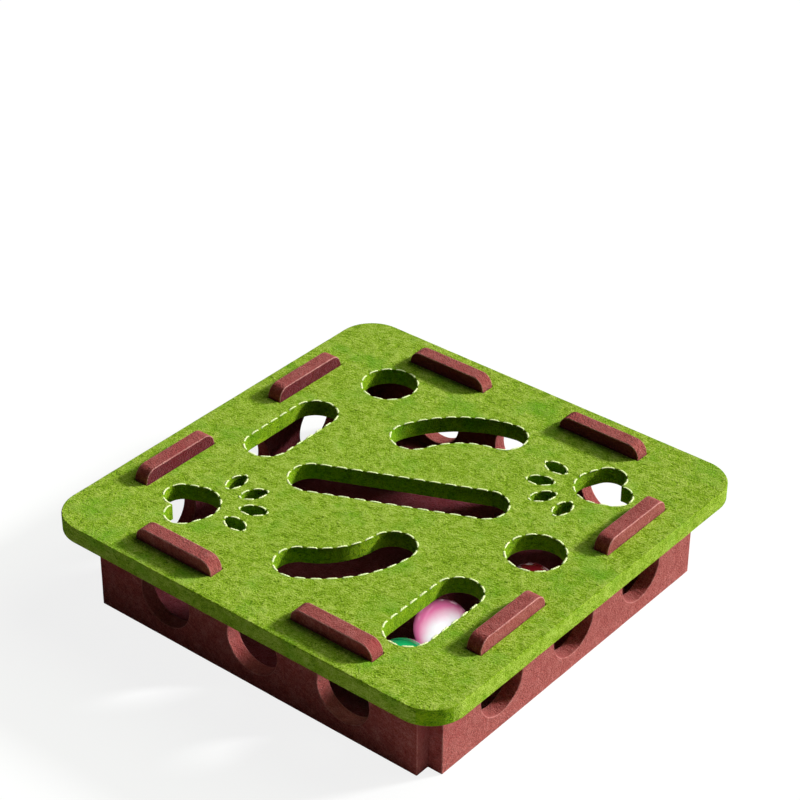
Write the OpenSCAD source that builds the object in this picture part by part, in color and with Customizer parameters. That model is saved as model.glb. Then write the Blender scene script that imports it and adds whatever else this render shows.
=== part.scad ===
// Cat track ball toy: a low box of felt board with a felt lid, and three light balls inside.
// Millimetres, +Z up. The origin lies on the ground under the middle of the lid.
// The plan is read with +X to the right and +Y to the back.

/* [Base] */
// Thickness of the felt board that the walls are cut from
felt_t = 10; // [7:0.5:12]
// Thickness of the floor's felt
floor_t = 5; // [3:0.5:8]
// Width of the box over the outer faces of two opposite walls
box_w = 266; // [256:1:280]
// Height of the wall shoulders that carry the lid
wall_h = 53.5; // [52.5:0.5:80]
// Diameter of a wall hole
wall_hole_d = 38.5; // [30:0.5:40]
// Distance between the middles of neighbouring wall holes
wall_hole_pitch = 69; // [50:1:80]
// Height of the wall holes' middles above the ground
wall_hole_z = 29.5; // [28:0.5:32]

/* [Tabs] */
// Length of a tab along its wall
tab_l = 60; // [30:1:75]
// Distance between the middles of the two tabs on a wall
tab_pitch = 121; // [100:1:150]
// Height that a tab stands above the lid
tab_rise = 8.5; // [4:0.5:15]
// Radius of a tab's upper corners
tab_corner_r = 8; // [2:0.5:10]
// Clearance all round a tab in its lid slot
tab_clearance = 0.3; // [0.1:0.1:1]

/* [Lid] */
// Width of the square lid
lid_w = 300; // [290:1:330]
// Thickness of the lid's felt board
lid_t = 11.5; // [8:0.5:15]
// Radius of the lid's corners
lid_corner_r = 24; // [10:1:40]

/* [Round lid holes] */
// Diameter of a round lid hole
round_hole_d = 36.5; // [20:0.5:38]
// Middle of the back round hole, along X
back_hole_x = -83; // [-86:0.5:-80]
// Middle of the back round hole, along Y
back_hole_y = 92.5; // [88:0.5:96]
// Middle of the right round hole, along X
right_hole_x = 99.5; // [94:0.5:102]
// Middle of the right round hole, along Y
right_hole_y = 5.5; // [0:0.5:10]

/* [Lid slots] */
// Width of the straight and curved slots
slot_w = 29.5; // [20:0.5:31]
// Length of the two short slots
short_slot_l = 74; // [50:0.5:76]
// Middle of the left short slot, along X
left_slot_x = -97.5; // [-102:0.5:-94]
// Middle of the left short slot, along Y
left_slot_y = 13; // [8:0.5:18]
// Middle of the right short slot, along X
right_slot_x = 88.5; // [84:0.5:92]
// Middle of the right short slot, along Y
right_slot_y = -76; // [-80:0.5:-72]
// Length of the long slot
long_slot_l = 138; // [90:0.5:140]
// Angle of the long slot from the X axis
long_slot_turn = 24.5; // [20:0.5:28]
// Middle of the long slot, along X
long_slot_x = -2.5; // [-6:0.5:2]
// Middle of the long slot, along Y
long_slot_y = 2.5; // [-1:0.5:5]

/* [Curved lid slots] */
// Radius of a curved slot's middle line
curve_r = 59.5; // [55:0.5:64]
// Angle between the end centres of a curved slot
curve_span = 57; // [40:1:60]
// Centre of the back curved slot's arc, along X
back_curve_x = 22.5; // [19:0.5:26]
// Centre of the back curved slot's arc, along Y
back_curve_y = 33; // [31:0.5:36]
// Direction from that centre to the middle of the back curved slot
back_curve_turn = 129.5; // [125:0.5:134]
// Centre of the front curved slot's arc, along X
front_curve_x = -28; // [-31:0.5:-25]
// Centre of the front curved slot's arc, along Y
front_curve_y = -37; // [-40:0.5:-35]
// Direction from that centre to the middle of the front curved slot
front_curve_turn = -34.5; // [-38:0.5:-31]

/* [Paw openings] */
// Radius of the palm's round front
palm_r = 17.8; // [15:0.1:18.5]
// Radius of the palm's two heel lobes
heel_r = 11; // [10:0.1:12]
// Distance of the heel lobes behind the palm's middle
heel_back = 5.4; // [4:0.1:7]
// Distance of each heel lobe from the paw's middle line
heel_aside = 9.5; // [8:0.1:9.8]
// Length of a toe opening
toe_l = 17.5; // [14.5:0.1:18.5]
// Width of a toe opening
toe_w = 10; // [8.5:0.1:10.8]
// Radius of a toe opening's ends
toe_end_r = 2.4; // [1.8:0.1:3]
// Distance of the two inner toes from the palm's middle
inner_toe_r = 38.5; // [36:0.5:41]
// Distance of the two outer toes from the palm's middle
outer_toe_r = 34.5; // [32:0.5:37]
// Angle of an inner toe's place from the row's middle line
inner_toe_at = 12.7; // [12:0.1:15]
// Angle of an outer toe's place from the row's middle line
outer_toe_at = 39; // [37:0.5:43]
// Angle of an inner toe's own length from the row's middle line
inner_toe_turn = 18; // [10:1:25]
// Angle of an outer toe's own length from the row's middle line
outer_toe_turn = 49; // [38:1:55]
// Angle of the toe row's middle line from the palm's
toe_row_turn = -3.7; // [-6:0.1:6]
// Middle of the back paw's palm, along X
back_paw_x = 91; // [87:0.5:95]
// Middle of the back paw's palm, along Y
back_paw_y = 85.5; // [82:0.5:89]
// Direction in which the back paw's toes point
back_paw_turn = 225; // [220:1:230]
// Middle of the front paw's palm, along X
front_paw_x = -89.5; // [-93:0.5:-86]
// Middle of the front paw's palm, along Y
front_paw_y = -87; // [-90:0.5:-84]
// Direction in which the front paw's toes point
front_paw_turn = 45; // [40:1:50]

/* [Stitching] */
// Diameter of the white thread
thread_d = 1.3; // [0.8:0.1:1.8]
// Distance of the thread's middle line outside an opening's rim
thread_aside = 0.1; // [0:0.05:0.6]
// Distance from one stitch to the next, before it is evened out along an edge
stitch_pitch = 9.5; // [6:0.5:14]
// Gap between two stitches
stitch_gap = 3; // [1:0.25:4]

/* [Balls] */
// Outer diameter of a ball
ball_d = 34; // [28:0.5:36]
// Wall thickness of a hollow ball
ball_wall = 1; // [0.6:0.1:2]
// Gap under a ball, so that it rolls free of the floor
ball_clearance = 0.3; // [0.1:0.1:0.9]
// Place of the pink ball, along X
pink_ball_x = 68; // [60:1:76]
// Place of the pink ball, along Y
pink_ball_y = -42; // [-45:1:-39]
// Place of the green ball, along X
green_ball_x = 73; // [66:1:80]
// Place of the green ball, along Y
green_ball_y = -85; // [-88:1:-83]
// Place of the red ball, along X
red_ball_x = 87; // [80:1:92]
// Place of the red ball, along Y
red_ball_y = 20; // [15:1:25]

/* [Hidden] */
$fn = 64;

lid_green = [0.55, 0.70, 0.20];
base_red = [0.50, 0.20, 0.22];
thread_white = [0.95, 0.95, 0.92];
ball_pink = [0.93, 0.48, 0.67];
ball_green = [0.03, 0.66, 0.38];
ball_red = [0.60, 0.08, 0.14];

// The floor fills the space between the walls' inner faces
inner_w = box_w - 2 * felt_t;
tab_h = lid_t + tab_rise;
lid_top = wall_h + lid_t;
ball_z = floor_t + ball_clearance + ball_d / 2;

// A toe's sides are arcs that meet its end circles smoothly
toe_end_x = toe_l / 2 - toe_end_r;
toe_bulge = toe_w / 2 - toe_end_r;
toe_side_y = (toe_end_x * toe_end_x - toe_bulge * toe_bulge) / (2 * toe_bulge);
toe_side_r = toe_w / 2 + toe_side_y;
toe_end_turn = atan2(toe_side_y, toe_end_x);

// A palm's straight flanks touch its front and its heel lobes at this angle
heel_distance = norm([heel_back, heel_aside]);
flank_turn = atan2(heel_aside, -heel_back) - acos((palm_r - heel_r) / heel_distance);

// The toes of a paw, one after another: distance, place angle and own angle
toe_places = [
    [outer_toe_r, -outer_toe_at, -outer_toe_turn],
    [inner_toe_r, -inner_toe_at, -inner_toe_turn],
    [inner_toe_r, inner_toe_at, inner_toe_turn],
    [outer_toe_r, outer_toe_at, outer_toe_turn]
];

function polar(r, angle) = [r * cos(angle), r * sin(angle)];

// An outline is a list of pieces: ["arc", centre, radius, start angle, sweep] or ["line", from, to].
// Each is taken at a distance outside the opening's rim.
function round_outline(distance) = [["arc", [0, 0], round_hole_d / 2 + distance, 0, 360]];

function slot_outline(length, distance) =
    let (end_x = (length - slot_w) / 2, r = slot_w / 2 + distance) [
        ["arc", [end_x, 0], r, -90, 180],
        ["line", [end_x, r], [-end_x, r]],
        ["arc", [-end_x, 0], r, 90, 180],
        ["line", [-end_x, -r], [end_x, -r]]
    ];

function curve_outline(distance) =
    let (half = curve_span / 2, r = slot_w / 2 + distance) [
        ["arc", [0, 0], curve_r + r, -half, curve_span],
        ["arc", polar(curve_r, half), r, half, 180],
        ["arc", [0, 0], curve_r - r, -half, curve_span],
        ["arc", polar(curve_r, -half), r, 180 - half, 180]
    ];

function palm_outline(distance) =
    let (
        front_r = palm_r + distance,
        lobe_r = heel_r + distance,
        lobe_a = [-heel_back, heel_aside],
        lobe_b = [-heel_back, -heel_aside],
        notch_turn = 180 + asin(heel_aside / lobe_r)
    ) [
        ["arc", [0, 0], front_r, -flank_turn, 2 * flank_turn],
        ["line", polar(front_r, flank_turn), lobe_a + polar(lobe_r, flank_turn)],
        ["arc", lobe_a, lobe_r, flank_turn, notch_turn - flank_turn],
        ["arc", lobe_b, lobe_r, -notch_turn, notch_turn - flank_turn],
        ["line", lobe_b + polar(lobe_r, -flank_turn), polar(front_r, -flank_turn)]
    ];

function toe_outline(distance) =
    let (end_r = toe_end_r + distance, side_r = toe_side_r + distance, side_sweep = 180 - 2 * toe_end_turn) [
        ["arc", [toe_end_x, 0], end_r, -toe_end_turn, 2 * toe_end_turn],
        ["arc", [0, -toe_side_y], side_r, toe_end_turn, side_sweep],
        ["arc", [-toe_end_x, 0], end_r, 180 - toe_end_turn, 2 * toe_end_turn],
        ["arc", [0, toe_side_y], side_r, 180 + toe_end_turn, side_sweep]
    ];

// Flat shapes of the openings
module slot_shape(length) {
    square([length - slot_w, slot_w], center = true);
    for (side = [-1, 1])
        translate([side * (length - slot_w) / 2, 0])
            circle(d = slot_w);
}

module curve_shape() {
    half = curve_span / 2;
    reach = (curve_r + slot_w) / cos(half);
    intersection() {
        difference() {
            circle(curve_r + slot_w / 2);
            circle(curve_r - slot_w / 2);
        }
        polygon([[0, 0], polar(reach, -half), polar(reach, half)]);
    }
    for (side = [-1, 1])
        translate(polar(curve_r, side * half))
            circle(d = slot_w);
}

module palm_shape() {
    intersection() {
        circle(palm_r);
        translate([-heel_back, -palm_r])
            square(2 * palm_r);
    }
    for (side = [-1, 1]) {
        lobe = [-heel_back, side * heel_aside];
        translate(lobe)
            circle(heel_r);
        polygon([
            [0, 0],
            polar(palm_r, side * flank_turn),
            lobe + polar(heel_r, side * flank_turn),
            lobe
        ]);
    }
}

module toe_shape() {
    for (side = [-1, 1])
        translate([side * toe_end_x, 0])
            circle(toe_end_r);
    intersection() {
        translate([0, -toe_side_y])
            circle(toe_side_r);
        translate([0, toe_side_y])
            circle(toe_side_r);
        square([2 * toe_side_r * cos(toe_end_turn), toe_w], center = true);
    }
}

// Places of the openings on the lid
module at_back_hole() translate([back_hole_x, back_hole_y]) children();
module at_right_hole() translate([right_hole_x, right_hole_y]) children();
module at_left_slot() translate([left_slot_x, left_slot_y]) rotate(90) children();
module at_right_slot() translate([right_slot_x, right_slot_y]) rotate(90) children();
module at_long_slot() translate([long_slot_x, long_slot_y]) rotate(long_slot_turn) children();
module at_back_curve() translate([back_curve_x, back_curve_y]) rotate(back_curve_turn) children();
module at_front_curve() translate([front_curve_x, front_curve_y]) rotate(front_curve_turn) children();
module at_back_paw() translate([back_paw_x, back_paw_y]) rotate(back_paw_turn) children();
module at_front_paw() translate([front_paw_x, front_paw_y]) rotate(front_paw_turn) children();

module at_toe(number) {
    place = toe_places[number - 1];
    rotate(toe_row_turn)
        translate(polar(place[0], place[1]))
            rotate(place[2])
                children();
}

module paw_shape() {
    palm_shape();
    for (number = [1:4])
        at_toe(number) toe_shape();
}

module lid_openings() {
    at_back_hole() circle(d = round_hole_d);
    at_right_hole() circle(d = round_hole_d);
    at_left_slot() slot_shape(short_slot_l);
    at_right_slot() slot_shape(short_slot_l);
    at_long_slot() slot_shape(long_slot_l);
    at_back_curve() curve_shape();
    at_front_curve() curve_shape();
    at_back_paw() paw_shape();
    at_front_paw() paw_shape();
}

// One slot for each tab, in all four walls' places
module tab_slots() {
    for (wall = [0:3], side = [-1, 1])
        rotate(90 * wall)
            translate([side * tab_pitch / 2, (felt_t - box_w) / 2])
                square([tab_l + 2 * tab_clearance, felt_t + 2 * tab_clearance], center = true);
}

module lid_shape() {
    straight = lid_w - 2 * lid_corner_r;
    square([lid_w, straight], center = true);
    square([straight, lid_w], center = true);
    for (x = [-1, 1], y = [-1, 1])
        translate([x, y] * straight / 2)
            circle(lid_corner_r);
}

module lid_panel() {
    color(lid_green)
        translate([0, 0, wall_h])
            linear_extrude(lid_t)
                difference() {
                    lid_shape();
                    lid_openings();
                    tab_slots();
                }
}

module floor_panel() {
    color(base_red)
        linear_extrude(floor_t)
            square(inner_w, center = true);
}

module tab_shape() {
    translate([-tab_l / 2, 0])
        square([tab_l, tab_h - tab_corner_r]);
    translate([tab_corner_r - tab_l / 2, 0])
        square([tab_l - 2 * tab_corner_r, tab_h]);
    for (side = [-1, 1])
        translate([side * (tab_l / 2 - tab_corner_r), tab_h - tab_corner_r])
            circle(tab_corner_r);
}

// A wall seen from outside, with X along the wall and Y up
module wall_shape() {
    difference() {
        translate([-inner_w / 2, 0])
            square([inner_w, wall_h]);
        for (place = [-1:1])
            translate([place * wall_hole_pitch, wall_hole_z])
                circle(d = wall_hole_d);
    }
    for (side = [-1, 1])
        translate([side * tab_pitch / 2, wall_h])
            tab_shape();
}

// A wall stands on the ground, against one edge of the floor
module wall(turn) {
    color(base_red)
        rotate(turn)
            translate([0, felt_t - box_w / 2, 0])
                rotate([90, 0, 0])
                    linear_extrude(felt_t)
                        wall_shape();
}

module ball(x, y, shade) {
    color(shade)
        translate([x, y, ball_z])
            difference() {
                sphere(d = ball_d);
                sphere(d = ball_d - 2 * ball_wall);
            }
}

// Half of the thread's round section, flat side down
module thread_section() {
    intersection() {
        circle(d = thread_d);
        translate([-thread_d, 0])
            square(2 * thread_d);
    }
}

module line_stitches(from, to) {
    run = to - from;
    count = max(1, round(norm(run) / stitch_pitch));
    step = norm(run) / count;
    for (i = [0:count - 1])
        translate([from[0], from[1], 0])
            rotate(atan2(run[1], run[0]))
                translate([i * step + stitch_gap / 2, 0, 0])
                    rotate([90, 0, 90])
                        linear_extrude(step - stitch_gap)
                            thread_section();
}

module arc_stitches(centre, r, start, sweep) {
    per_degree = r * PI / 180;
    count = max(1, round(sweep * per_degree / stitch_pitch));
    step = sweep / count;
    gap = stitch_gap / per_degree;
    for (i = [0:count - 1])
        translate([centre[0], centre[1], 0])
            rotate(start + i * step + gap / 2)
                rotate_extrude(angle = step - gap)
                    translate([r, 0])
                        thread_section();
}

// Stitches lie along an opening's rim, each with half its width on the lid's top face
module stitching(outline) {
    color(thread_white)
        for (piece = outline)
            if (piece[0] == "line")
                line_stitches(piece[1], piece[2]);
            else
                arc_stitches(piece[1], piece[2], piece[3], piece[4]);
}

module on_lid() translate([0, 0, lid_top]) children();

module round_stitching() on_lid() stitching(round_outline(thread_aside));
module slot_stitching(length) on_lid() stitching(slot_outline(length, thread_aside));
module curve_stitching() on_lid() stitching(curve_outline(thread_aside));
module palm_stitching() on_lid() stitching(palm_outline(thread_aside));
module toe_stitching(number) at_toe(number) on_lid() stitching(toe_outline(thread_aside));

lid_panel();
floor_panel();
wall(0);  // front_wall
wall(90);  // right_wall
wall(180);  // back_wall
wall(270);  // left_wall
ball(pink_ball_x, pink_ball_y, ball_pink);  // pink_ball
ball(green_ball_x, green_ball_y, ball_green);  // green_ball
ball(red_ball_x, red_ball_y, ball_red);  // red_ball
at_back_hole() round_stitching();  // back_hole_stitching
at_right_hole() round_stitching();  // right_hole_stitching
at_left_slot() slot_stitching(short_slot_l);  // left_slot_stitching
at_right_slot() slot_stitching(short_slot_l);  // right_slot_stitching
at_long_slot() slot_stitching(long_slot_l);  // long_slot_stitching
at_back_curve() curve_stitching();  // back_curve_stitching
at_front_curve() curve_stitching();  // front_curve_stitching
at_back_paw() palm_stitching();  // back_palm_stitching
at_front_paw() palm_stitching();  // front_palm_stitching
for (number = [1:4]) {
    at_back_paw() toe_stitching(number);
    at_front_paw() toe_stitching(number);
}
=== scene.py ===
import math

import bmesh
import bpy
from mathutils import Matrix, Vector, noise


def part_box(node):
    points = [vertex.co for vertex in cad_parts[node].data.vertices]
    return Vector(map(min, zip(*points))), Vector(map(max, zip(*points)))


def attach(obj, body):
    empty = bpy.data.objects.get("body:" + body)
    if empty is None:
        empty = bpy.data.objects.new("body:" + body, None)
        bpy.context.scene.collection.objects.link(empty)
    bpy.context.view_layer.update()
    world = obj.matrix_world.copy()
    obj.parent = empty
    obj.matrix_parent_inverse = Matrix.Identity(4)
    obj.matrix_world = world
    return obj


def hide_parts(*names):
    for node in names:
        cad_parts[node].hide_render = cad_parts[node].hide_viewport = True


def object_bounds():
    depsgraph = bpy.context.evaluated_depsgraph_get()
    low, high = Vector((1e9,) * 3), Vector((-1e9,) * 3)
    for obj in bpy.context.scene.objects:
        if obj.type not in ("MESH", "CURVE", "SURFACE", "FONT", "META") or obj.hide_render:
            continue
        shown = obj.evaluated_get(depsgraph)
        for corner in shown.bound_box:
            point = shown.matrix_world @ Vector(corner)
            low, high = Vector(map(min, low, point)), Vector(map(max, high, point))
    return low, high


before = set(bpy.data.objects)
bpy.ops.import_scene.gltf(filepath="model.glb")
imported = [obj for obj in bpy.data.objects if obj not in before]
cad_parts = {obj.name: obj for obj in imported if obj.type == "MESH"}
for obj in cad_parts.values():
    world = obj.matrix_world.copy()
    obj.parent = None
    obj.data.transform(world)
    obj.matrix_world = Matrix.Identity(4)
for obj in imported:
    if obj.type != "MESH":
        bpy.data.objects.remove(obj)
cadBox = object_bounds()
scene = bpy.context.scene
scene.view_settings.view_transform = "Standard"
mm = 0.001
print("frame loaded with", len(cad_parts), "nodes")


class Signal:  # a shader socket that takes part in plain arithmetic
    def __init__(self, finish, socket):
        self.finish = finish
        self.socket = socket

    def maths(self, operation, first, second=0.0, third=0.0):
        settings = {"operation": operation}
        return self.finish.node("ShaderNodeMath", settings, {0: first, 1: second, 2: third})

    def __add__(self, other):
        return self.maths("ADD", self, other)

    def __radd__(self, other):
        return self.maths("ADD", other, self)

    def __sub__(self, other):
        return self.maths("SUBTRACT", self, other)

    def __rsub__(self, other):
        return self.maths("SUBTRACT", other, self)

    def __mul__(self, other):
        return self.maths("MULTIPLY", self, other)

    def __rmul__(self, other):
        return self.maths("MULTIPLY", other, self)

    def __abs__(self):
        return self.maths("ABSOLUTE", self)

    def over(self, other):  # the larger of two values
        return self.maths("MAXIMUM", self, other)

    def held(self):  # kept between 0 and 1
        return self.finish.node("ShaderNodeClamp", {}, {"Value": self})


class Nodes:  # a node tree that is written as expressions
    def __init__(self, tree):
        self.tree = tree

    def node(self, kind, settings, inputs, output=0):
        made = self.tree.nodes.new(kind)
        for name, value in settings.items():
            setattr(made, name, value)
        for name, value in inputs.items():
            if isinstance(value, Signal):
                self.tree.links.new(value.socket, made.inputs[name])
            else:
                made.inputs[name].default_value = value
        return Signal(self, made.outputs[output])


class Finish(Nodes):  # a material and the nodes that feed its shader
    def __init__(self, name, constants):
        self.material = bpy.data.materials.new(name)
        self.material.use_nodes = True
        super().__init__(self.material.node_tree)
        self.shader = self.tree.nodes["Principled BSDF"]
        for socket, value in constants.items():
            self.shader.inputs[socket].default_value = value

    def place(self):  # where a point of the piece lies, in metres
        return self.node("ShaderNodeTexCoord", {}, {}, "Object")

    def grain(self, place, scale, detail=2.0, roughness=0.5, output="Fac"):
        inputs = {"Vector": place, "Scale": scale, "Detail": detail, "Roughness": roughness}
        return self.node("ShaderNodeTexNoise", {}, inputs, output)

    def mixed(self, share, first, second):
        settings = {"data_type": "RGBA", "clamp_factor": True}
        return self.node("ShaderNodeMix", settings, {0: share, 6: first, 7: second}, 2)

    def bumped(self, height, strength, distance):
        inputs = {"Height": height, "Strength": strength, "Distance": distance}
        return self.node("ShaderNodeBump", {}, inputs)

    def feed(self, socket, value):
        self.tree.links.new(value.socket, self.shader.inputs[socket])


def addPiece(name, mesh, node, body, finish):
    piece = bpy.data.objects.new(name, mesh)
    scene.collection.objects.link(piece)
    mesh.materials.clear()
    mesh.materials.append(finish.material)
    for polygon in mesh.polygons:
        polygon.use_smooth = True
    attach(piece, body)
    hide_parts(node)
    return piece


def meshOf(blenderObject):  # the object's mesh with its modifiers applied
    bpy.context.view_layer.update()
    graph = bpy.context.evaluated_depsgraph_get()
    return bpy.data.meshes.new_from_object(blenderObject.evaluated_get(graph))


# pressed felt: fibres lie every way, bent by a slow wander, in clumps of lighter and darker wool
greenFelt = {
    "dark": (0.085, 0.180, 0.003, 1),
    "middle": (0.248, 0.420, 0.010, 1),
    "light": (0.490, 0.620, 0.110, 1),
    "fresh": (0.105, 0.350, 0.002, 1),
    # the pale tone of worn edges with their painted highlight, and of the painted sunlight
    "wearAndPaintedLight": (0.320, 0.480, 0.020, 1),
    # painted shade on cut faces, partly their core colour, and on inside faces
    "cut": (0.68, 0.84, 0.10, 1),
    "inside": (0.80, 0.80, 0.80, 1),
    "sheen": (0.80, 1.00, 0.20, 1),
    "sheenWeight": 0.25,
    "contrast": 1.0,
    "edgeWearAndHighlightShare": 0.5,
    "paintedSunlightShare": 0.0,
    "lays": ((0, 0, 12), (0, 0, 58), (0, 0, 101), (0, 0, 152)),
}
redFelt = {
    "dark": (0.175, 0.009, 0.011, 1),
    "middle": (0.352, 0.066, 0.055, 1),
    "light": (0.570, 0.205, 0.185, 1),
    "fresh": (0.340, 0.034, 0.036, 1),
    # the pale tone of worn edges with their painted highlight, and of the painted sunlight
    "wearAndPaintedLight": (0.780, 0.370, 0.345, 1),
    # painted shade on cut faces, partly their core colour, and on inside faces
    "cut": (0.90, 0.82, 0.86, 1),
    "inside": (0.42, 0.28, 0.44, 1),
    "sheen": (1.00, 0.75, 0.78, 1),
    "sheenWeight": 0.10,
    "contrast": 0.5,
    "edgeWearAndHighlightShare": 0.9,
    "paintedSunlightShare": 0.08,
    "lays": ((0, 28, 8), (0, -52, 74), (0, 44, 118), (0, -20, 165)),
}
feltLook = {
    "strand": {"scale": 430, "detail": 2.0, "roughness": 0.55},
    "wander": {"scale": 150, "detail": 1.0, "roughness": 0.5},
    "speckle": {"scale": 1500, "detail": 2.0, "roughness": 0.6},
    "clumps": {"scale": 170, "detail": 2.0, "roughness": 0.6},
    "patches": {"scale": 34, "detail": 3.0, "roughness": 0.6},
    "wanderReach": 0.0026,  # how far the wander bends a fibre, in metres
    "fibreLength": 3.6,  # times its width
    "fibreEdge": 7.0,  # higher makes thinner fibres
    "fibreMiddle": 0.62,
    "layShift": 0.37,  # keeps the lays from repeating each other
    "layFade": 0.12,  # each further lay lies deeper
    "fibreShare": 0.9,
    "speckleShare": 2.0,
    "clumpShare": 1.1,
    "patchShare": 0.5,
    "freshGain": 4.5,  # how sharply the freshly dyed patches begin
    "freshStart": 0.1,
    "freshShare": 0.75,
    "edgeWearHighlightBase": 0.6,
    "edgeWearHighlightSpeckle": 1.2,
    "specular": 0.03,
    "sheenRoughness": 0.40,
    "roughness": 0.86,
    "fibreRoughness": 0.1,
    "bump": 0.9,
    "bumpDepth": 0.0007,
    "bumpSpeckle": 1.2,
}


def feltFinish(name, colours):
    look = feltLook
    felt = Finish(name, {
        "Specular IOR Level": look["specular"],
        "Sheen Weight": colours["sheenWeight"],
        "Sheen Roughness": look["sheenRoughness"],
        "Sheen Tint": colours["sheen"],
    })
    place = felt.place()
    wander = felt.grain(place, **look["wander"], output="Color")
    reach = (look["wanderReach"],) * 3
    settings = {"operation": "MULTIPLY_ADD"}
    bent = felt.node("ShaderNodeVectorMath", settings, {0: wander, 1: reach, 2: place})
    fibres = None
    for number, lay in enumerate(colours["lays"]):
        turn = [math.radians(angle) for angle in lay]
        shift = (number * look["layShift"],) * 3
        inputs = {"Vector": bent, "Location": shift, "Rotation": turn,
                  "Scale": (look["fibreLength"], 1, 1)}
        laid = felt.node("ShaderNodeMapping", {"vector_type": "TEXTURE"}, inputs)
        strand = felt.grain(laid, **look["strand"])
        ridge = (1 - abs(strand - 0.5) * look["fibreEdge"]).held()  # thin, at the noise's middle
        fibres = ridge if fibres is None else fibres.over(ridge * (1 - look["layFade"] * number))
    speckle = felt.grain(place, **look["speckle"]) - 0.5
    clumps = felt.grain(bent, **look["clumps"]) - 0.5
    patches = felt.grain(place, **look["patches"]) - 0.5
    wool = ((fibres - look["fibreMiddle"]) * look["fibreShare"] + speckle * look["speckleShare"]
            + clumps * look["clumpShare"] + patches * look["patchShare"])
    tone = (wool * colours["contrast"] + 0.5).held()
    low = felt.mixed((tone * 2).held(), colours["dark"], colours["middle"])
    full = felt.mixed((tone * 2 - 1).held(), low, colours["light"])
    fresh = (patches * look["freshGain"] - look["freshStart"]).held() * look["freshShare"]
    dyed = felt.mixed(fresh, full, colours["fresh"])
    for mark in ("cut", "inside"):  # painted shade: cut faces are darker, partly their own core colour, and the box's inside faces are darker
        share = felt.node("ShaderNodeAttribute", {"attribute_name": mark}, {}, "Fac")
        settings = {"data_type": "RGBA", "blend_type": "MULTIPLY"}
        dyed = felt.node("ShaderNodeMix", settings, {0: share, 6: dyed, 7: colours[mark]}, 2)
    # eased edges are paler: partly wear, partly a painted highlight along the arrises
    wearAndPaintedLight = felt.node("ShaderNodeAttribute", {"attribute_name": "wearAndPaintedLight"}, {}, "Fac")
    edgeWearAndHighlight = (wearAndPaintedLight * (look["edgeWearHighlightBase"] + speckle * look["edgeWearHighlightSpeckle"] + clumps)).held()
    # painted light: faces turned toward the key light are paler
    paintedSunlight = felt.node("ShaderNodeAttribute", {"attribute_name": "paintedSunlight"}, {}, "Fac")
    paler = edgeWearAndHighlight * colours["edgeWearAndHighlightShare"] + paintedSunlight * colours["paintedSunlightShare"]
    felt.feed("Base Color", felt.mixed(paler.held(), dyed, colours["wearAndPaintedLight"]))
    felt.feed("Roughness", look["roughness"] + fibres * look["fibreRoughness"])
    relief = fibres + speckle * look["bumpSpeckle"] + clumps
    felt.feed("Normal", felt.bumped(relief, look["bump"], look["bumpDepth"]))
    return felt


lidFinish = feltFinish("greenFeltBoard", greenFelt)
baseFinish = feltFinish("redFeltBoard", redFelt)
print("felt finishes made")


# felt boards: the cut solid with its arrises eased, cut into a fine grid and pressed slightly uneven
boards = {  # "through" is the way through the board's thickness
    "lidBoard": {"node": "lid_panel", "body": "lid", "slot": "green_felt",
                 "finish": lidFinish, "through": (0, 0, 1)},
    "floorBoard": {"node": "floor_panel", "body": "base", "slot": "red_felt",
                   "finish": baseFinish, "through": (0, 0, 1)},
}
wallSides = {"front": (0, 1, 0), "right": (1, 0, 0), "back": (0, 1, 0), "left": (1, 0, 0)}
for side, through in wallSides.items():
    boards[side + "WallBoard"] = {"node": side + "_wall", "body": "base", "slot": "red_felt",
                                  "finish": baseFinish, "through": through}
boardLook = {
    "easing": 0.7 * mm,
    "steps": 4,
    "sharp": 35,
    "cell": 4.0 * mm,
    "swell": 0.10 * mm,
    "swellScale": 75,
    "lowEdgeWearAndHighlight": 0.45,
    "outerCut": 0.1,
    "lightSide": Vector((1.0, 1.5, 0.9)),
    "merge": 0.002 * mm,
    "flatAngle": 1,
    "gridReach": 0.01 * mm,
    "cornerReach": 0.1 * mm,
}
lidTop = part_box("lid_panel")[1].z
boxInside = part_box("right_wall")[0].x  # from the middle to a wall's inner face
boxMiddle = Vector((0, 0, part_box("lid_panel")[0].z / 2))


def cutGrid(shape, cell):
    low = Vector([min(vertex.co[axis] for vertex in shape.verts) for axis in range(3)])
    high = Vector([max(vertex.co[axis] for vertex in shape.verts) for axis in range(3)])
    for axis in range(3):
        count = round((high[axis] - low[axis]) / cell)
        normal = Vector([float(axis == other) for other in range(3)])
        for number in range(1, count):
            spot = low.lerp(high, number / count)
            geometry = shape.verts[:] + shape.edges[:] + shape.faces[:]
            bmesh.ops.bisect_plane(shape, geom=geometry, dist=boardLook["gridReach"],
                                   plane_co=spot, plane_no=normal)


def inCorner(vertex):  # on the upright line where two walls meet
    return all(abs(abs(value) - boxInside) < boardLook["cornerReach"] for value in vertex.co.xy)


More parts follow.
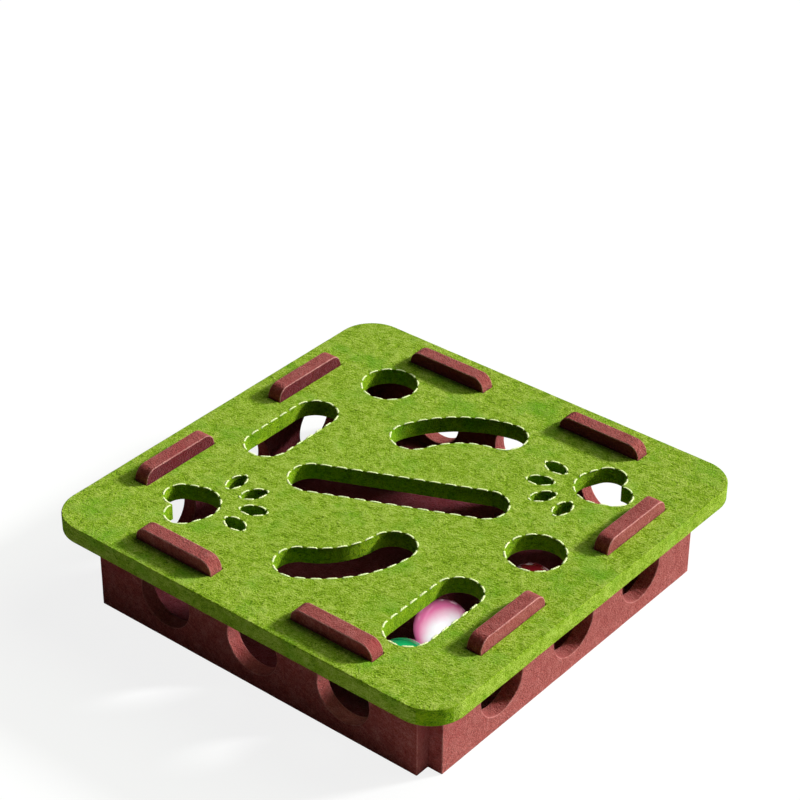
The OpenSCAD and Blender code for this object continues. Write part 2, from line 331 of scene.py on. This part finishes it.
def feltBoard(name, values):
    look = boardLook
    shape = bmesh.new()
    shape.from_mesh(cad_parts[values["node"]].data)
    sharp = math.radians(look["sharp"])
    flat = math.radians(look["flatAngle"])
    bmesh.ops.remove_doubles(shape, verts=shape.verts, dist=look["merge"])
    bmesh.ops.dissolve_limit(shape, angle_limit=flat, verts=shape.verts, edges=shape.edges)
    shape.normal_update()
    arrises = [edge for edge in shape.edges
               if edge.is_convex and edge.calc_face_angle() > sharp
               and not all(inCorner(vertex) for vertex in edge.verts)]
    eased = bmesh.ops.bevel(shape, geom=arrises, offset=look["easing"], segments=look["steps"],
                            profile=0.5, affect="EDGES", material=-1)
    band = set(eased["faces"])
    shape.normal_update()
    for edge in shape.edges:
        edge.smooth = edge.calc_face_angle() < sharp
    # paler eased edges: partly wear, partly a painted highlight along the arrises
    wearAndPaintedLight = shape.verts.layers.float.new("wearAndPaintedLight")
    for vertex in shape.verts:
        edgeMarkShare = 1.0 if vertex.co.z > lidTop else look["lowEdgeWearAndHighlight"]  # the tabs' edges carry the most wear and painted highlight
        vertex[wearAndPaintedLight] = edgeMarkShare * all(face in band for face in vertex.link_faces)
    cutGrid(shape, look["cell"])
    shape.normal_update()
    for vertex in shape.verts:
        if not inCorner(vertex):
            vertex.co += vertex.normal * noise.noise(vertex.co * look["swellScale"]) * look["swell"]
            vertex.co.z = max(vertex.co.z, 0.0)  # nothing goes under the ground
    cut = shape.faces.layers.float.new("cut")
    inside = shape.faces.layers.float.new("inside")
    paintedSunlight = shape.faces.layers.float.new("paintedSunlight")
    through = Vector(values["through"])
    outerEdge = cadBox[1].x - look["easing"] * 2
    for face in shape.faces:
        middle = face.calc_center_median()
        facing = face.normal.dot(through)
        lidOuterRim = max(abs(middle.x), abs(middle.y)) > outerEdge  # the lid's outer edge
        inward = math.copysign(1, (boxMiddle - middle).dot(through))
        # cut faces get painted shade, partly their core colour, with less on the lid's outer rim; inside
        # faces get painted shade
        face[cut] = (1 - abs(facing)) * (look["outerCut"] if lidOuterRim else 1)
        face[inside] = max(0.0, facing * inward)
        # painted light on the faces turned toward the key light, none on inside faces
        face[paintedSunlight] = max(0.0, min(1.0, face.normal.dot(look["lightSide"]))) * (1 - face[inside])
    mesh = bpy.data.meshes.new(name)
    shape.to_mesh(mesh)
    shape.free()
    board = addPiece(name, mesh, values["node"], values["body"], values["finish"])
    board.modifiers.new("flatFaces", "WEIGHTED_NORMAL").keep_sharp = True
    return board


mattePieces = bpy.data.collections.new("mattePieces")
for name, values in boards.items():
    mattePieces.objects.link(feltBoard(name, values))
print("felt boards made")


# cream running stitch round each opening: two twisted plies, which dive into the felt at both ends
thread = {  # the pitches, gap and rim are in millimetres
    "ply": 0.47 * mm,
    "twistRadius": 0.29 * mm,
    "twistPitch": 3.4,
    "pitch": 9.5,
    "gap": 3.3,
    "gapShare": 0.4,
    "rim": 0.2,
    "flat": 0.30,
    "dive": 1.2 * mm,
    "diveCurve": 5,
    "steps": 18,
    "dull": (0.81, 0.93, 0.44, 1),
    "bright": (0.94, 1.00, 0.60, 1),
    "lint": {"scale": 2600, "detail": 2.0},
    "specular": 0.05,
    "roughness": 0.6,
    "lintRoughness": 0.3,
    "bump": 0.4,
    "bumpDepth": 0.0001,
}
openings = {  # millimetres and degrees, as the lid is cut
    "roundHole": {"diameter": 36.5},
    "slot": {"width": 29.5, "short": 74.0, "long": 138.0},
    "curve": {"radius": 59.5, "span": 57.0},
    "palm": {"radius": 17.8, "heelRadius": 11.0, "heelBack": 5.4, "heelAside": 9.5},
    "toe": {"length": 17.5, "width": 10.0, "endRadius": 2.4, "rowTurn": -3.7},
    "toePlaces": (  # distance from the palm's middle, angle there, and turn
        (34.5, -39.0, -49.0),
        (38.5, -12.7, -18.0),
        (38.5, 12.7, 18.0),
        (34.5, 39.0, 49.0),
    ),
    "places": {  # across, back and turn
        "backHole": (-83.0, 92.5, 0),
        "rightHole": (99.5, 5.5, 0),
        "leftSlot": (-97.5, 13.0, 90),
        "rightSlot": (88.5, -76.0, 90),
        "longSlot": (-2.5, 2.5, 24.5),
        "backCurve": (22.5, 33.0, 129.5),
        "frontCurve": (-28.0, -37.0, -34.5),
        "backPaw": (91.0, 85.5, 225),
        "frontPaw": (-89.5, -87.0, 45),
    },
}


def polar(radius, angle):
    return Vector((math.cos(math.radians(angle)), math.sin(math.radians(angle)))) * radius


# a rim piece is its length, and its point and outward way at a share of that length
def arc(centre, radius, start, sweep):
    def at(share):
        way = start + sweep * share
        return Vector(centre) + polar(radius, way), polar(1, way)
    return math.radians(sweep) * radius, at


def line(first, last):
    way = (last - first).normalized()
    return (last - first).length, lambda share: (first.lerp(last, share), Vector((way.y, -way.x)))


def roundRim(rim):
    return [arc((0, 0), openings["roundHole"]["diameter"] / 2 + rim, 0, 360)]


def slotRim(length, rim):
    width = openings["slot"]["width"]
    end, radius = (length - width) / 2, width / 2 + rim
    return [arc((end, 0), radius, -90, 180),
            line(Vector((end, radius)), Vector((-end, radius))),
            arc((-end, 0), radius, 90, 180),
            line(Vector((-end, -radius)), Vector((end, -radius)))]


def curveRim(rim):
    middle, half = openings["curve"]["radius"], openings["curve"]["span"] / 2
    radius = openings["slot"]["width"] / 2 + rim
    return [arc((0, 0), middle + radius, -half, 2 * half),
            arc(polar(middle, half), radius, half, 180),
            arc((0, 0), middle - radius, -half, 2 * half),
            arc(polar(middle, -half), radius, 180 - half, 180)]


def palmRim(rim):
    palm = openings["palm"]
    back, aside = palm["heelBack"], palm["heelAside"]
    front, heel = palm["radius"] + rim, palm["heelRadius"] + rim
    lean = math.acos((front - heel) / math.hypot(back, aside))
    flank = math.degrees(math.atan2(aside, -back) - lean)
    notch = 180 + math.degrees(math.asin(aside / heel))
    lobes = [Vector((-back, aside)), Vector((-back, -aside))]
    return [arc((0, 0), front, -flank, 2 * flank),
            line(polar(front, flank), lobes[0] + polar(heel, flank)),
            arc(lobes[0], heel, flank, notch - flank),
            arc(lobes[1], heel, -notch, notch - flank),
            line(lobes[1] + polar(heel, -flank), polar(front, -flank))]


def toeRim(rim):
    toe = openings["toe"]
    endX, bulge = toe["length"] / 2 - toe["endRadius"], toe["width"] / 2 - toe["endRadius"]
    sideY = (endX * endX - bulge * bulge) / (2 * bulge)
    sideR, endR = toe["width"] / 2 + sideY + rim, toe["endRadius"] + rim
    turn = math.degrees(math.atan2(sideY, endX))
    return [arc((endX, 0), endR, -turn, 2 * turn),
            arc((0, -sideY), sideR, turn, 180 - 2 * turn),
            arc((-endX, 0), endR, 180 - turn, 2 * turn),
            arc((0, sideY), sideR, 180 + turn, 180 - 2 * turn)]


def placeOf(name):
    x, y, turn = openings["places"][name]
    return Matrix.Translation((x, y, 0)) @ Matrix.Rotation(math.radians(turn), 4, "Z")


def toePlace(paw, number):
    distance, angle, turn = openings["toePlaces"][number]
    spot = Matrix.Translation(polar(distance, angle).to_3d())
    row = Matrix.Rotation(math.radians(openings["toe"]["rowTurn"]), 4, "Z")
    return placeOf(paw) @ row @ spot @ Matrix.Rotation(math.radians(turn), 4, "Z")


threadFinish = Finish("whiteThread", {"Specular IOR Level": thread["specular"]})
lint = threadFinish.grain(threadFinish.place(), **thread["lint"])
threadFinish.feed("Base Color", threadFinish.mixed(lint, thread["dull"], thread["bright"]))
threadFinish.feed("Roughness", thread["roughness"] + lint * thread["lintRoughness"])
threadFinish.feed("Normal", threadFinish.bumped(lint, thread["bump"], thread["bumpDepth"]))


def stitchPoints(at, first, last, length, ply):
    points = []
    for step in range(thread["steps"] + 1):
        share = step / thread["steps"]
        along = first + (last - first) * share
        spot, outward = at(along / length)
        twist = 2 * math.pi * along / thread["twistPitch"] + ply * math.pi
        sink = abs(2 * share - 1) ** thread["diveCurve"] * thread["dive"]
        flat = spot * mm + outward * math.cos(twist) * thread["twistRadius"]
        points.append((flat.x, flat.y, math.sin(twist) * thread["twistRadius"] - sink))
    return points


def threadRun(name, node, rimPieces, place):
    run = bpy.data.curves.new(name, "CURVE")
    run.dimensions = "3D"
    run.bevel_depth = thread["ply"]
    run.bevel_resolution = 1
    run.use_fill_caps = True
    lift = Matrix.Translation((0, 0, lidTop))
    spread = place.copy()
    spread.translation = place.translation * mm
    for length, at in rimPieces:
        count = max(1, round(length / thread["pitch"]))
        step = length / count
        gap = min(thread["gap"], step * thread["gapShare"])  # short rim pieces keep a stitch
        for number in range(count):
            first = number * step + gap / 2
            last = (number + 1) * step - gap / 2
            for ply in (0, 1):
                points = stitchPoints(at, first, last, length, ply)
                strand = run.splines.new("POLY")
                strand.points.add(len(points) - 1)
                for spot, point in zip(strand.points, points):
                    spot.co = (*(lift @ spread @ Vector(point)), 1)
    coil = bpy.data.objects.new(name + "Path", run)
    scene.collection.objects.link(coil)
    mesh = meshOf(coil)
    mesh.name = name
    bpy.data.objects.remove(coil)
    for vertex in mesh.vertices:  # pulled tight, the thread lies flat on the felt
        vertex.co.z = lidTop + (vertex.co.z - lidTop) * thread["flat"]
    mattePieces.objects.link(addPiece(name, mesh, node, "lid", threadFinish))


rim = thread["rim"]
shortSlot = slotRim(openings["slot"]["short"], rim)
longSlot = slotRim(openings["slot"]["long"], rim)
threadRun("backHoleThread", "back_hole_stitching", roundRim(rim), placeOf("backHole"))
threadRun("rightHoleThread", "right_hole_stitching", roundRim(rim), placeOf("rightHole"))
threadRun("leftSlotThread", "left_slot_stitching", shortSlot, placeOf("leftSlot"))
threadRun("rightSlotThread", "right_slot_stitching", shortSlot, placeOf("rightSlot"))
threadRun("longSlotThread", "long_slot_stitching", longSlot, placeOf("longSlot"))
for half in ("back", "front"):
    paw = half + "Paw"
    threadRun(half + "CurveThread", half + "_curve_stitching", curveRim(rim), placeOf(half + "Curve"))
    threadRun(half + "PalmThread", half + "_palm_stitching", palmRim(rim), placeOf(paw))
    for number in range(len(openings["toePlaces"])):
        node = f"{half}_toe_{number + 1}_stitching"
        threadRun(f"{half}Toe{number + 1}Thread", node, toeRim(rim), toePlace(paw, number))
print("stitching made")


# hollow balls, moulded in two halves that meet at a fine seam
balls = {
    # each ball is painted paler toward a given side, as if lit from there
    "pinkBall": {"node": "pink_ball", "slot": "pink_plastic", "tilt": (50, 20, 0),
                 "deep": (0.98, 0.22, 0.49, 1), "pale": (0.88, 0.84, 0.89, 1),
                 "paintedLightSide": (0.83, -0.53, 0.19), "spread": 1.9, "share": -0.44},
    "greenBall": {"node": "green_ball", "slot": "green_plastic", "tilt": (70, -10, 30),
                  "deep": (0.009, 0.56, 0.18, 1), "pale": (0.016, 0.76, 0.25, 1),
                  "paintedLightSide": (0.3, 0.2, 0.9), "spread": 0.75, "share": 0.4},
    "redBall": {"node": "red_ball", "slot": "red_plastic", "tilt": (65, 35, 0),
                "deep": (0.09, 0.003, 0.007, 1), "pale": (0.24, 0.009, 0.018, 1),
                "paintedLightSide": (0.5, 0.6, 0.5), "spread": 0.75, "share": 0.4},
}
ballLook = {
    "around": 72,
    "rings": 36,
    "seam": 0.35 * mm,
    "seamDepth": 0.985,
    "seamSteps": 2,
    "onEquator": 0.001 * mm,
    "inSeam": 0.01 * mm,
    "swirl": {"scale": 1.6, "detail": 3.0, "roughness": 0.5},
    "swirlShare": 0.7,
    "scuffs": {"scale": 24, "detail": 4.0, "roughness": 0.65},
    "roughness": 0.14,
    "scuffRoughness": 0.16,
    "bump": 0.03,
    "bumpDepth": 0.0002,
    "constants": {"Coat Weight": 0.7, "Coat Roughness": 0.04, "IOR": 1.45},
}


def ballFinish(name, centre, radius, values):
    look = ballLook
    gloss = Finish(name + "Plastic", look["constants"])
    inputs = {"Vector": gloss.place(), "Location": centre, "Scale": (radius, radius, radius)}
    place = gloss.node("ShaderNodeMapping", {"vector_type": "TEXTURE"}, inputs)  # the ball's own -1 to 1
    # painted light: the ball is paler on one side, as if lit there, mixed with a pearly swirl
    side = Vector(values["paintedLightSide"]).normalized()
    settings = {"operation": "DOT_PRODUCT"}
    facing = gloss.node("ShaderNodeVectorMath", settings, {0: place, 1: side}, "Value")
    swirl = gloss.grain(place, **look["swirl"]) - 0.5
    pearlAndPaintedLight = (facing * values["spread"] + swirl * look["swirlShare"] + values["share"]).held()
    scuffs = gloss.grain(place, **look["scuffs"])
    gloss.feed("Base Color", gloss.mixed(pearlAndPaintedLight, values["deep"], values["pale"]))
    gloss.feed("Roughness", look["roughness"] + scuffs * look["scuffRoughness"])
    gloss.feed("Normal", gloss.bumped(scuffs, look["bump"], look["bumpDepth"]))
    return gloss


def mouldedBall(name, values):
    look = ballLook
    low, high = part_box(values["node"])
    centre, radius = (low + high) / 2, (high.z - low.z) / 2
    shape = bmesh.new()
    bmesh.ops.create_uvsphere(shape, u_segments=look["around"], v_segments=look["rings"], radius=radius)
    equator = [edge for edge in shape.edges
               if all(abs(vertex.co.z) < look["onEquator"] for vertex in edge.verts)]
    bmesh.ops.bevel(shape, geom=equator, offset=look["seam"], segments=look["seamSteps"],
                    profile=0.5, affect="EDGES", material=-1)
    for vertex in shape.verts:
        if abs(vertex.co.z) < look["inSeam"]:
            vertex.co *= look["seamDepth"]
    tilt = [math.radians(angle) for angle in values["tilt"]]
    for axis, angle in zip("XYZ", tilt):
        bmesh.ops.rotate(shape, verts=shape.verts, matrix=Matrix.Rotation(angle, 3, axis))
    bmesh.ops.translate(shape, verts=shape.verts, vec=centre)
    bmesh.ops.recalc_face_normals(shape, faces=shape.faces)
    mesh = bpy.data.meshes.new(name)
    shape.to_mesh(mesh)
    shape.free()
    finish = ballFinish(name, centre, radius, values)
    return addPiece(name, mesh, values["node"], values["node"], finish)


glossyBalls = bpy.data.collections.new("glossyBalls")
for name, values in balls.items():
    glossyBalls.objects.link(mouldedBall(name, values))
print("balls made")


# camera, where the photograph was taken from
photoView = {"lens": 108.5, "sensor": 36, "azimuth": 39.10, "elevation": 32.74, "roll": 0.437,
             "right": 1.55 * mm, "up": 111.5 * mm, "back": 1492.5 * mm}


def photoCamera():
    azimuth = math.radians(photoView["azimuth"])
    elevation = math.radians(photoView["elevation"])
    roll = math.radians(photoView["roll"])
    flat = math.cos(elevation)
    back = Vector((math.sin(azimuth) * flat, -math.cos(azimuth) * flat, math.sin(elevation)))
    level = Vector((math.cos(azimuth), math.sin(azimuth), 0))
    rise = back.cross(level)
    right = level * math.cos(roll) + rise * math.sin(roll)
    up = rise * math.cos(roll) - level * math.sin(roll)
    data = bpy.data.cameras.new("photoCamera")
    data.lens = photoView["lens"]
    data.sensor_width = photoView["sensor"]
    camera = bpy.data.objects.new("photoCamera", data)
    scene.collection.objects.link(camera)
    spot = right * photoView["right"] + up * photoView["up"] + back * photoView["back"]
    camera.matrix_world = Matrix.Translation(spot) @ Matrix((right, up, back)).transposed().to_4x4()
    scene.camera = camera


photoCamera()


# stage: a white floor that keeps a faint shadow, a low key light, soft fills and an even sky
white = (1, 1, 1, 1)
stage = {"floorSize": 8.0, "floorDrop": 0.05 * mm, "floorShade": 0.7, "floorShadow": 0.17,
         "floorGlow": 1.02, "sky": 0.036}
lamps = {  # "spread" in degrees, "from" the way that the light comes
    "key": {"strength": 4.8, "spread": 8, "from": (0.490, 0.759, 0.430), "colour": (1, 1, 1)},
    "softBack": {"strength": 1.5, "spread": 50, "from": (0.412, 0.618, 0.669), "colour": (0.9, 1, 0.8)},
    "ballFill": {"strength": 3.7, "spread": 40, "from": (0.54, -0.71, 0.44), "colour": (1, 1, 1)},
}


def seenWhite(finish):  # 1 where the camera, a reflection or a clear piece looks
    path = [finish.node("ShaderNodeLightPath", {}, {}, name)
            for name in ("Is Camera Ray", "Is Glossy Ray", "Is Transmission Ray")]
    return path[0].over(path[1]).over(path[2])


def floorFinish():
    ground = Finish("paleFloor", {})
    tree = ground.tree
    shade = (stage["floorShade"],) * 3 + (1,)
    plain = ground.node("ShaderNodeBsdfDiffuse", {}, {"Color": shade})
    glow = ground.node("ShaderNodeEmission", {}, {"Color": white, "Strength": stage["floorGlow"]})
    lit = ground.node("ShaderNodeBsdfDiffuse", {}, {"Color": white})
    shown = ground.node("ShaderNodeMixShader", {}, {0: stage["floorShadow"], 1: glow, 2: lit})
    both = ground.node("ShaderNodeMixShader", {}, {0: seenWhite(ground), 1: plain, 2: shown})
    tree.links.new(both.socket, tree.nodes["Material Output"].inputs["Surface"])
    tree.nodes.remove(ground.shader)
    return ground.material


def sunLamp(name):
    values = lamps[name]
    lamp = bpy.data.lights.new(name, "SUN")
    lamp.energy = values["strength"]
    lamp.color = values["colour"]
    lamp.angle = math.radians(values["spread"])
    light = bpy.data.objects.new(name, lamp)
    scene.collection.objects.link(light)
    light.rotation_mode = "QUATERNION"
    light.rotation_quaternion = (-Vector(values["from"])).to_track_quat("-Z", "Y")
    return light


def makeStage():
    shape = bmesh.new()
    bmesh.ops.create_grid(shape, x_segments=1, y_segments=1, size=stage["floorSize"] / 2)
    bmesh.ops.translate(shape, verts=shape.verts, vec=(0, 0, -stage["floorDrop"]))
    mesh = bpy.data.meshes.new("floor")
    shape.to_mesh(mesh)
    shape.free()
    floor = bpy.data.objects.new("floor", mesh)
    scene.collection.objects.link(floor)
    mesh.materials.append(floorFinish())
    mattePieces.objects.link(floor)
    for name in ("key", "softBack"):
        sunLamp(name).light_linking.receiver_collection = mattePieces
    fill = sunLamp("ballFill")  # soft light for the balls alone, which reaches them under the lid
    fill.data.specular_factor = 0
    fill.data.use_shadow = False
    fill.light_linking.receiver_collection = glossyBalls
    sky = bpy.data.worlds.new("sky")
    scene.world = sky
    sky.use_nodes = True
    tree = sky.node_tree
    air = tree.nodes["Background"]
    air.inputs["Color"].default_value = white
    strength = stage["sky"] + seenWhite(Nodes(tree)) * (1 - stage["sky"])
    tree.links.new(strength.socket, air.inputs["Strength"])


makeStage()
print("stage made")
